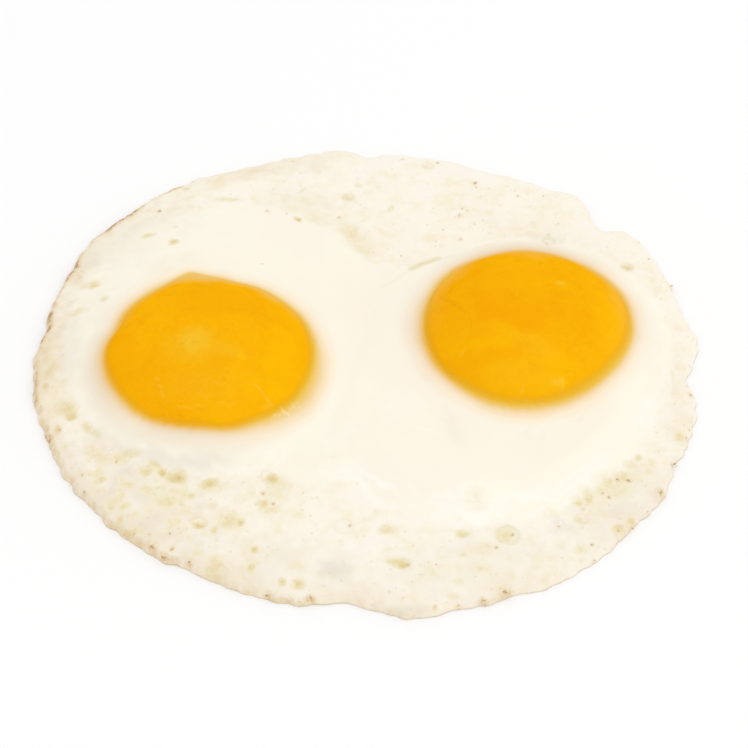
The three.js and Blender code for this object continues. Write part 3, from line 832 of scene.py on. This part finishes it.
YOLK_SECTORS = 360
YOLK_RINGS_UNDER = [0.3, 0.5, 0.65, 0.76, 0.84, 0.9, 0.94, 0.97, 0.985]
YOLK_RINGS_OVER = 68
YOLK_RELIEF = 0.06
PALE_MARKS = [
    (-34.7, -8.4, 6.4, 7.4, 10, 1.15), (-35, -9.4, 11, 9, 20, 0.4), (-28.5, -10.3, 9, 3.6, -12, 0.4),
    (39.7, 5, 2.0, 1.6, 0, 1.0), (32.5, -15, 16, 5, -8, 0.15), (34, -10.5, 9, 4, -20, 0.2),
    (-33, -17.5, 16, 7, 0, 0.15),
]
BRIGHT_AND_LIT_MARKS = [
    (-17, -9, 9, 24, -12, 0.9), (-15.5, 3.5, 9, 18, 15, 0.7), (-25.3, -11.6, 1.8, 1.8, 0, 1.2),
    (-20, -17, 9, 7, 30, 0.5), (36, -15, 14, 8, 20, 0.6), (50, 2, 6, 16, -10, 0.3),
    (32, -15.5, 18, 6, -10, 0.35), (24, -8.5, 14, 2.4, -12, 0.4), (39, 4.5, 6, 4.5, 0, 0.3),
]
DEEP_AND_SHADED_MARKS = [
    (-50.5, -7, 8, 24, 12, 0.5), (-36, 6, 22, 12, 0, 0.25), (-27, 0, 18, 10, -10, 0.2),
    (-43, -12, 9, 8, 0, 0.25), (-46, 1, 5, 4, 0, 0.4), (44, -5, 6, 9, 35, 0.4),
    (30, 8, 22, 10, -10, 0.45), (14.5, 0, 7, 24, 0, 0.1), (21.7, 3.2, 2.4, 3, 0, 0.9),
    (26, -11, 14, 3.5, -5, 0.6), (20, -11.5, 9, 7, -30, 0.5), (37, -1, 9, 12, 0, 0.35),
]
CRISP_MARKS = [
    (26.6, -0.6, 10, 8.4, -32, 0.75), (29.6, -2.8, 9, 7, -32, 0.75), (32.8, -5, 7.4, 7.2, -35, 0.8),
    (24.4, -2, 5, 5, -20, 0.7),
]
YOLK_DOTS = [
    (-37.3, -9.0, 0.7), (-34.9, -8.7, 0.8), (-34.0, -8.8, 0.6), (-36.5, -8.2, 0.5), (-28, -15.5, 0.5),
    (-28.6, -16.9, 0.7), (-45.9, 2.0, 0.4), (32.7, -13.3, 0.4), (-48.3, 2.7, 0.35), (-46.2, 3.4, 0.4),
    (44, -8, 0.4), (-39.3, -20.8, 0.45), (-42.8, -19, 0.4), (16.9, -9.8, 0.6), (21, -15.0, 0.4),
]
YOLK_STRANDS = [
    ([(-22.8, -16.9), (-21.6, -17.6), (-20.8, -18.5), (-20.2, -19.7), (-18.6, -20), (-16.8, -20)],
     0.15, 0.55),
    ([(-16.8, -20), (-16.4, -21.3)], 0.2, 0.6), ([(-19.9, -19.3), (-19.2, -20.6), (-20.4, -21.1)], 0.4, 0.6),
    ([(-42.5, -15.6), (-41.7, -16.4)], 0.16, 0.5), ([(-41.9, -17.1), (-41.2, -17.8)], 0.16, 0.5),
    ([(-41.4, -18.5), (-41, -19.1)], 0.2, 0.6), ([(22.3, -16.4), (23.6, -17.3)], 0.3, 0.4),
    ([(37.6, -15.4), (39.6, -14.8), (38.9, -17), (37.7, -18.2)], 0.34, 0.8),
    ([(37.7, -18.2), (38.6, -18.9)], 0.3, 0.7),
    ([(16.7, -11), (18.8, -13.1), (20.8, -14.7), (22.8, -16.5)], 0.2, 0.6),
    ([(17.9, -12.5), (20.4, -14.9), (22.2, -16.6)], 0.15, 0.5), ([(19.2, -8.5), (19.7, -8.1)], 0.18, 0.6),
    ([(31.3, -17), (31, -17.7)], 0.22, 0.6), ([(28.6, -18.5), (29.7, -18.8), (31.4, -18.6)], 0.25, 0.3),
    ([(-37.7, -21.6), (-35.3, -22), (-32.3, -21.6)], 0.2, 0.3), ([(-29.3, -21.4), (-26.3, -21)], 0.2, 0.25),
    ([(-34, -19.7), (-31.5, -20)], 0.2, 0.2), ([(-31, -17.6), (-28.8, -18)], 0.16, 0.3),
]
YOLK_CREASES = [
    ([(14.9, 9), (16.5, 5.6), (18, 2.9), (19.2, 0.6), (20.4, -0.8), (21.1, -2.6), (21.3, -4.6)], 0.15, 0.45),
    ([(17.3, 4.2), (18, 2.9), (19.2, 0.6)], 0.2, 0.8), ([(44.2, -8.2), (45.6, -7)], 0.22, 0.35),
    ([(-41.9, -20), (-40.8, -21)], 0.25, 0.5), ([(-37.9, -22.9), (-36.6, -23.4)], 0.3, 0.6),
    ([(-34.8, -23.7), (-33.6, -23.5)], 0.3, 0.5), ([(25, -17.9), (28, -18.6), (30, -19)], 0.18, 0.5),
]


def yolk_rings():
    """Rings as (share of the reach, whether it is underneath), out along the belly and back over."""
    over = np.linspace(1, 0.02, YOLK_RINGS_OVER)
    return [(share, True) for share in YOLK_RINGS_UNDER] + [(share, False) for share in over]


def yolk_masks(yolk, x, y):
    film, blush_and_shade = yolk_film(x, y)
    dots = [(px, py, 1.3 * width, 1.1 * width, 0, 1) for px, py, width in YOLK_DOTS]
    deep_and_shaded = spots(x, y, DEEP_AND_SHADED_MARKS, 0.4, 93, soft_spot)
    crisp = spots(x, y, CRISP_MARKS, 0.12, 97, crisp_spot)
    dotted = 0.55 * spots(x, y, dots, 0.1, 98, soft_spot)
    return {
        "film": np.clip(film, -5, 20),
        "blush_and_shade": blush_and_shade,
        "veil_and_sheen": yolk_veil_and_sheen(yolk, x, y, film),
        "paler": spots(x, y, PALE_MARKS, 0.2, 91, soft_spot),
        "brighter_and_lit": spots(x, y, BRIGHT_AND_LIT_MARKS, 0.35, 92, soft_spot),
        "deeper_and_shaded": np.maximum(deep_and_shaded, crisp),
        "strand": lines(x, y, YOLK_STRANDS),
        "crease": np.maximum(dotted, lines(x, y, YOLK_CREASES)),
        "wisp": lines(x, y, WISPS),
    }


def build_yolk(name, yolk, material):
    degrees = yolk["corner_at"] + 360 * np.arange(YOLK_SECTORS) / YOLK_SECTORS
    rings = []
    for share, underneath in yolk_rings():
        x, y = on_rim_point(yolk, degrees, share * yolk_reach(yolk, degrees))
        if underneath:
            z = hollow_height(yolk, x, y, YOLK_UNDERSIDE)
        else:
            calm = ease(share, 1, 0.93)
            marks = lines(x, y, YOLK_STRANDS) - lines(x, y, YOLK_CREASES)
            z = skin_height(x, y) + calm * YOLK_RELIEF * (marks + noise(x, y, 7.0, 95))
        rings.append(np.stack([x, y, z], 1))
    middle = (yolk["x"], yolk["y"])
    count = 2 + sum(len(ring) for ring in rings)
    bottom, top = (*middle, YOLK_UNDERSIDE), (*middle, yolk["top"])
    points, faces = ring_body(bottom, rings, top, np.zeros(count, bool))
    masks = yolk_masks(yolk, points[:, 0], points[:, 1])
    return mesh_object(name, points, faces, masks, material, 50)


# Browned specks: flat crumbs of singed white, the wide ones made of several

SMALL_SPECK = 0.65
CRUMB_THICKNESS = 0.16


def speck_places(draw):
    """Crumbs as (x, y, width, darkness)."""
    crumbs = []
    for x, y, width in SPECKS:
        if width < SMALL_SPECK:
            crumbs.append((x, y, width * 0.8, 0.2 + 0.5 * width))
            continue
        crumbs.append((x, y, width * 0.6, draw.uniform(0.6, 0.9)))
        for _ in range(2):
            away = width * 0.4 * np.array([draw.normal(), draw.normal()])
            dark = draw.uniform(0.2, 0.7)
            crumbs.append((x + away[0], y + away[1], width * draw.uniform(0.2, 0.4), dark))
    while len(crumbs) < len(SPECKS) + STRAY_SPECKS * 2:
        x, y = draw.uniform(-WHITE_RADIUS, WHITE_RADIUS, 2)
        point = np.array([x]), np.array([y])
        if edge_inset(*point)[0] > 1.5 and thin_share(*point)[0] > 0.7 and yolk_film(*point)[0][0] > 2:
            crumbs.append((x, y, draw.uniform(0.15, 0.32), draw.uniform(0.05, 0.35)))
    return crumbs


def ball():
    shape = bmesh.new()
    bmesh.ops.create_icosphere(shape, subdivisions=2, radius=1)
    points = np.array([v.co[:] for v in shape.verts])
    faces = np.array([[v.index for v in f.verts] for f in shape.faces])
    shape.free()
    return points, faces


def build_specks(material):
    draw = np.random.default_rng(5)
    ball_points, ball_faces = ball()
    points = []
    faces = []
    tones = []
    for k, (x, y, width, dark) in enumerate(speck_places(draw)):
        dent = 1 + 0.3 * np.sin(ball_points @ draw.uniform(-3, 3, 3) + draw.uniform(0, 6))
        size = 0.5 * width * np.array([draw.uniform(0.9, 1.4), draw.uniform(0.5, 0.9), CRUMB_THICKNESS])
        own = ball_points * dent[:, None] * size
        turn = draw.uniform(0, math.pi)
        spun_x = own[:, 0] * math.cos(turn) - own[:, 1] * math.sin(turn)
        spun_y = own[:, 0] * math.sin(turn) + own[:, 1] * math.cos(turn)
        z = skin_height(np.array([x]), np.array([y]))[0]
        points.append(np.stack([spun_x + x, spun_y + y, own[:, 2] + z], 1))
        faces.append(ball_faces + len(ball_points) * k)
        tones.append(np.full(len(ball_points), dark))
    masks = {"dark": np.concatenate(tones)}
    return mesh_object("browned_specks", np.concatenate(points), np.concatenate(faces), masks, material, 80)


# Materials, made of nodes


def linear(red, green, blue):
    """A colour as the eye sees it, 0 to 255, for a shader."""
    values = []
    for value in (red, green, blue):
        share = value / 255
        values.append(share / 12.92 if share <= 0.04045 else ((share + 0.055) / 1.055) ** 2.4)
    return (*values, 1)


def new_material(name):
    material = bpy.data.materials.new(name)
    material.use_nodes = True
    tree = material.node_tree
    return material, tree, tree.nodes["Principled BSDF"]


def connect(tree, socket, value):
    """Fills a socket from another node, or with a number or a colour from 0 to 255."""
    if isinstance(value, bpy.types.NodeSocket):
        tree.links.new(value, socket)
    elif isinstance(value, tuple):
        socket.default_value = linear(*value)
    else:
        socket.default_value = value


def read_mask(tree, name):
    node = tree.nodes.new("ShaderNodeAttribute")
    node.attribute_name = name
    return node.outputs["Fac"]


def calculate(tree, operation, a, b=0.0):
    node = tree.nodes.new("ShaderNodeMath")
    node.operation = operation
    connect(tree, node.inputs[0], a)
    connect(tree, node.inputs[1], b)
    return node.outputs[0]


def times(tree, a, b):
    return calculate(tree, "MULTIPLY", a, b)


def remap(tree, value, low, high, to_low=0.0, to_high=1.0):
    node = tree.nodes.new("ShaderNodeMapRange")
    node.interpolation_type = "SMOOTHSTEP"
    connect(tree, node.inputs["Value"], value)
    for key, number in (("From Min", low), ("From Max", high), ("To Min", to_low), ("To Max", to_high)):
        node.inputs[key].default_value = number
    return node.outputs[0]


def mix_colour(tree, factor, a, b):
    node = tree.nodes.new("ShaderNodeMix")
    node.data_type = "RGBA"
    connect(tree, node.inputs["Factor"], factor)
    connect(tree, node.inputs[6], a)
    connect(tree, node.inputs[7], b)
    return node.outputs[2]


def noise_texture(tree, size, detail, place, distortion=0.0):
    node = tree.nodes.new("ShaderNodeTexNoise")
    node.inputs["Scale"].default_value = 1 / (size * MM)
    node.inputs["Detail"].default_value = detail
    node.inputs["Distortion"].default_value = distortion
    tree.links.new(place, node.inputs["Vector"])
    return node.outputs["Fac"]


def bubbles(tree, place, size, share, smallest, widest):
    """Bubbles in a share of cells about size across: the distance from a bubble's middle, 1 at its
    edge, and whether the cell has one."""
    node = tree.nodes.new("ShaderNodeTexVoronoi")
    node.inputs["Scale"].default_value = 1 / (size * MM)
    tree.links.new(place, node.inputs["Vector"])
    split = tree.nodes.new("ShaderNodeSeparateColor")
    tree.links.new(node.outputs["Color"], split.inputs[0])
    edge = remap(tree, split.outputs[1], 0, 1, widest * smallest, widest)
    away = calculate(tree, "DIVIDE", node.outputs["Distance"], edge)
    return away, calculate(tree, "GREATER_THAN", split.outputs[0], 1 - share)


def finish(tree, shader, colour, roughness, specular=0.5, ior=1.5):
    connect(tree, shader.inputs["Base Color"], colour)
    shader.inputs["Roughness"].default_value = roughness
    shader.inputs["Specular IOR Level"].default_value = specular
    shader.inputs["IOR"].default_value = ior


def object_place(tree):
    return tree.nodes.new("ShaderNodeTexCoord").outputs["Object"]


def colour_steps(tree, value, low, high, steps):
    """Colours at places along a range."""
    node = tree.nodes.new("ShaderNodeValToRGB")
    ramp = node.color_ramp
    for place, tone in steps:
        share = (place - low) / (high - low)
        stop = ramp.elements[0] if place == steps[0][0] else ramp.elements.new(share)
        stop.position = share
        stop.color = linear(*tone)
    ramp.elements.remove(ramp.elements[-1])
    scaled = calculate(tree, "DIVIDE", calculate(tree, "SUBTRACT", value, low), high - low)
    tree.links.new(scaled, node.inputs[0])
    return node.outputs[0]


# The film from yolk to white, by the distance beyond the rim

FILM_YELLOW = [
    (-1.5, (246, 178, 14)), (-1.0, (238, 178, 30)), (-0.5, (236, 185, 52)), (0, (238, 195, 83)),
    (0.41, (240, 205, 120)), (0.83, (243, 215, 158)), (1.25, (247, 225, 184)), (2.5, (251, 238, 214)),
]
FILM_PEACH = [
    (-1.5, (242, 170, 10)), (-1.0, (237, 168, 20)), (-0.5, (236, 172, 46)), (0, (236, 184, 88)),
    (0.5, (236, 198, 134)), (1.0, (236, 207, 164)), (2.0, (237, 219, 191)), (3.2, (240, 228, 207)),
]


def film_colours(tree, yolk, white):
    """Yolk to white through the film: deeper just inside the rim, milky on it, pale beyond."""
    film = read_mask(tree, "film")
    yellow = colour_steps(tree, film, -2, 4, FILM_YELLOW)
    yellow = mix_colour(tree, remap(tree, film, 2.2, 5.0), yellow, white)
    peach = colour_steps(tree, film, -2, 4, FILM_PEACH)
    peach = mix_colour(tree, remap(tree, film, 2.8, 6.5), peach, white)
    # Peach where blushed: partly the white's own tint and partly painted shade, as behind the right yolk
    milky = mix_colour(tree, read_mask(tree, "blush_and_shade"), yellow, peach)
    colour = mix_colour(tree, remap(tree, film, -2.0, -1.0), yolk, milky)
    return coats(tree, colour, [("wisp", 0.75, (252, 240, 206))])


def coats(tree, colour, places):
    """Coats of colour over each other (mask or its name, strength, tone)."""
    for mask, strength, tone in places:
        if isinstance(mask, str):
            mask = read_mask(tree, mask)
        colour = mix_colour(tree, times(tree, mask, strength), colour, tone)
    return colour


def bubbly_dots(tree, place, where, size, share, widest):
    """Round spots scattered over part of the white."""
    away, there = bubbles(tree, place, size, share, 0.35, widest)
    return times(tree, times(tree, remap(tree, away, 1.0, 0.6), there), where)


def bubble_rings(tree, place, where, size, share, widest):
    """Thin rings left by small bubbles that burst."""
    away, there = bubbles(tree, place, size, share, 0.4, widest)
    ring = times(tree, remap(tree, away, 0.35, 0.75), remap(tree, away, 1.2, 0.85))
    return times(tree, times(tree, ring, there), where)


# Pools, by their depth

POOL_TONES = [
    (0.12, (245, 237, 216)), (0.45, (240, 229, 197)), (0.7, (234, 219, 176)), (0.95, (229, 211, 157)),
    (1.2, (223, 203, 142)),
]


def pool_colours(tree, colour, pooled):
    """Thin clear white over the floor, deeper where the pool is deeper."""
    tones = colour_steps(tree, pooled, 0, 1.3, POOL_TONES)
    return mix_colour(tree, remap(tree, pooled, 0.05, 0.45), colour, tones)


def thin_white_colour(tree, place):
    """Milky and clearer patches at three sizes."""
    broad = noise_texture(tree, 7, 2, place, 0.6)
    middling = noise_texture(tree, 2.4, 3, place, 0.3)
    spread = remap(tree, broad, 0.4, 0.66)
    milky = mix_colour(tree, spread, (250, 244, 231), (250, 242, 225))
    clearer = mix_colour(tree, spread, (250, 242, 225), (246, 236, 210))
    return mix_colour(tree, remap(tree, middling, 0.36, 0.72), milky, clearer)


def white_colour(tree, place, thin, pooled, dots):
    broad = noise_texture(tree, 14, 2, place)
    middling = noise_texture(tree, 3.2, 3, place, 0.4)
    fine = noise_texture(tree, 0.7, 2, place)
    glints = bubbly_dots(tree, place, thin, 1.9, 0.3, 0.09)
    # Painted glints of the tiny bubbles in the foam places
    froth_glints = bubbly_dots(tree, place, read_mask(tree, "foam_glints"), 1.0, 0.65, 0.26)
    rings = bubble_rings(tree, place, thin, 2.3, 0.3, 0.2)
    singed = times(tree, read_mask(tree, "singed"), remap(tree, fine, 0.3, 0.65, 0.55, 1.2))
    brown = times(tree, read_mask(tree, "brown"), remap(tree, fine, 0.3, 0.7, 0.7, 1.15))
    thick = mix_colour(tree, remap(tree, broad, 0.35, 0.65), (250, 245, 228), (250, 243, 227))
    seared = mix_colour(tree, remap(tree, middling, 0.35, 0.7), (236, 208, 158), (202, 152, 88))
    colour = mix_colour(tree, thin, thick, thin_white_colour(tree, place))
    # The dull coat is partly a duller white and partly painted shade
    colour = coats(tree, colour, [("dull_and_shade", 0.62, (228, 216, 195)), (dots, 0.4, (232, 217, 180))])
    colour = pool_colours(tree, colour, pooled)
    return coats(tree, colour, [
        # Smudges: greyish, in part painted shade along the fold and on the left
        ("smudge_and_shade", 0.6, (226, 217, 203)),
        # Tan: golden, in part painted shade
        ("tan_and_shade", 0.7, (231, 211, 172)),
        (rings, 0.22, (220, 200, 160)),
        (remap(tree, singed, 0.1, 0.6), 0.6, (236, 218, 182)),
        (remap(tree, singed, 0.62, 1.0), 0.7, (206, 170, 118)),
        ("ghost", 0.3, (222, 204, 156)),
        ("pale", 0.65, (254, 251, 243)),
        (glints, 0.8, (255, 253, 246)),
        (froth_glints, 1.0, (255, 251, 242)),
        ("margin", 0.55, (228, 210, 176)),
        (remap(tree, brown, 0.05, 0.55), 0.8, (224, 200, 158)),
        (remap(tree, brown, 0.5, 1.0), 0.9, (178, 136, 82)),
        ("under", 0.8, seared),
    ])


def white_material():
    material, tree, shader = new_material("set_egg_white")
    place = object_place(tree)
    thin = read_mask(tree, "thin")
    grain = noise_texture(tree, 1.1, 3, place, 0.5)
    speckle = noise_texture(tree, 0.5, 1, place)
    coarse = remap(tree, grain, 0.3, 0.7, -0.13, 0.1)
    uneven = calculate(tree, "ADD", coarse, remap(tree, speckle, 0.3, 0.7, -0.07, 0.07))
    pool = read_mask(tree, "pool")
    pooled = calculate(tree, "ADD", pool, times(tree, uneven, remap(tree, pool, 0.1, 0.6)))
    dots = bubbly_dots(tree, place, thin, 1.5, 0.45, 0.24)
    colour = film_colours(tree, (250, 178, 8), white_colour(tree, place, thin, pooled, dots))
    finish(tree, shader, colour, 0.36, 0.4, 1.35)
    lumps = calculate(tree, "SUBTRACT", times(tree, grain, thin), dots)
    bump = tree.nodes.new("ShaderNodeBump")
    bump.inputs["Strength"].default_value = 0.5
    bump.inputs["Distance"].default_value = 0.15 * MM
    tree.links.new(lumps, bump.inputs["Height"])
    tree.links.new(bump.outputs["Normal"], shader.inputs["Normal"])
    return material


def yolk_material():
    material, tree, shader = new_material("soft_yolk")
    place = object_place(tree)
    broad = noise_texture(tree, 16, 2, place, 0.4)
    fine = noise_texture(tree, 2.4, 3, place, 0.8)
    grain = noise_texture(tree, 0.6, 2, place)
    blotches = noise_texture(tree, 4.5, 4, place, 0.6)
    colour = mix_colour(tree, remap(tree, broad, 0.35, 0.65), (246, 174, 6), (249, 181, 8))
    colour = coats(tree, colour, [
        (remap(tree, blotches, 0.5, 0.7), 0.35, (245, 166, 5)),
        (remap(tree, fine, 0.5, 0.75), 0.45, (241, 166, 5)),
        (remap(tree, grain, 0.4, 0.75), 0.16, (250, 194, 40)),
        # Deeper orange, partly painted shade, and brighter yellow, partly painted light
        ("deeper_and_shaded", 0.55, (244, 160, 5)),
        ("brighter_and_lit", 0.6, (253, 192, 4)),
        ("paler", 0.5, (241, 198, 56)),
        ("crease", 0.45, (210, 146, 20)),
        ("strand", 0.5, (254, 206, 74)),
    ])
    colour = film_colours(tree, colour, (252, 245, 228))
    # The veil's pale haze is the film, and on the yolks' far sides also painted sheen
    finish(tree, shader, coats(tree, colour, [("veil_and_sheen", 0.88, (238, 200, 120))]), 0.3, 0, 1.3)
    return material


def speck_material():
    material, tree, shader = new_material("browned_crumb")
    colour = mix_colour(tree, read_mask(tree, "dark"), (240, 224, 190), (186, 144, 92))
    finish(tree, shader, colour, 0.5)
    return material


# Stage: floor, light and camera

FLOOR_SIZE = 4000
FLOOR_DROP = 0.05
SKY_STRENGTH = 0.985
SOFTBOX_PLACE = (450, -250, 600)
SOFTBOX_SIZE = (700, 500)
SOFTBOX_WATTS = 0.45
CAMERA_ELEVATION = 44
CAMERA_LENS = 120
CAMERA_SENSOR = 36
CAMERA_DISTANCE = 517.4
CAMERA_TARGET = (1.42, -2.84, 0)


def build_floor():
    bpy.ops.mesh.primitive_plane_add(size=FLOOR_SIZE * MM, location=(0, 0, -FLOOR_DROP * MM))
    floor = bpy.context.object
    floor.name = "floor"
    material, tree, shader = new_material("pale_floor")
    shader.inputs["Base Color"].default_value = (0.97, 0.97, 0.97, 1)
    shader.inputs["Roughness"].default_value = 0.8
    shader.inputs["Specular IOR Level"].default_value = 0.1
    floor.data.materials.append(material)


def build_light():
    world = bpy.data.worlds.new("studio")
    bpy.context.scene.world = world
    world.use_nodes = True
    background = world.node_tree.nodes["Background"]
    background.inputs["Color"].default_value = (1, 1, 1, 1)
    background.inputs["Strength"].default_value = SKY_STRENGTH
    lamp = bpy.data.lights.new("softbox", "AREA")
    lamp.shape = "RECTANGLE"
    lamp.size = SOFTBOX_SIZE[0] * MM
    lamp.size_y = SOFTBOX_SIZE[1] * MM
    lamp.energy = SOFTBOX_WATTS
    softbox = bpy.data.objects.new("softbox", lamp)
    softbox.location = Vector(SOFTBOX_PLACE) * MM
    softbox.rotation_euler = (-Vector(softbox.location)).to_track_quat("-Z", "Y").to_euler()
    bpy.context.scene.collection.objects.link(softbox)


def build_camera():
    lens = bpy.data.cameras.new("camera")
    lens.lens = CAMERA_LENS
    lens.sensor_width = CAMERA_SENSOR
    lens.clip_start = 10 * MM
    camera = bpy.data.objects.new("camera", lens)
    elevation = math.radians(CAMERA_ELEVATION)
    target = Vector(CAMERA_TARGET) * MM
    back = Vector((0, -math.cos(elevation), math.sin(elevation)))
    camera.location = target + back * CAMERA_DISTANCE * MM
    camera.rotation_euler = (-back).to_track_quat("-Z", "Y").to_euler()
    bpy.context.scene.collection.objects.link(camera)
    bpy.context.scene.camera = camera


bpy.context.scene.view_settings.view_transform = "Standard"
build_floor()
build_light()
build_camera()

white = build_white(white_material())
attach(white, "root")
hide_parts("egg_white")

soft_yolk = yolk_material()
for name, yolk in YOLKS.items():
    piece = build_yolk("soft_" + name, yolk, soft_yolk)
    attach(piece, "root")
    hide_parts(name)

specks = build_specks(speck_material())
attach(specks, "root")
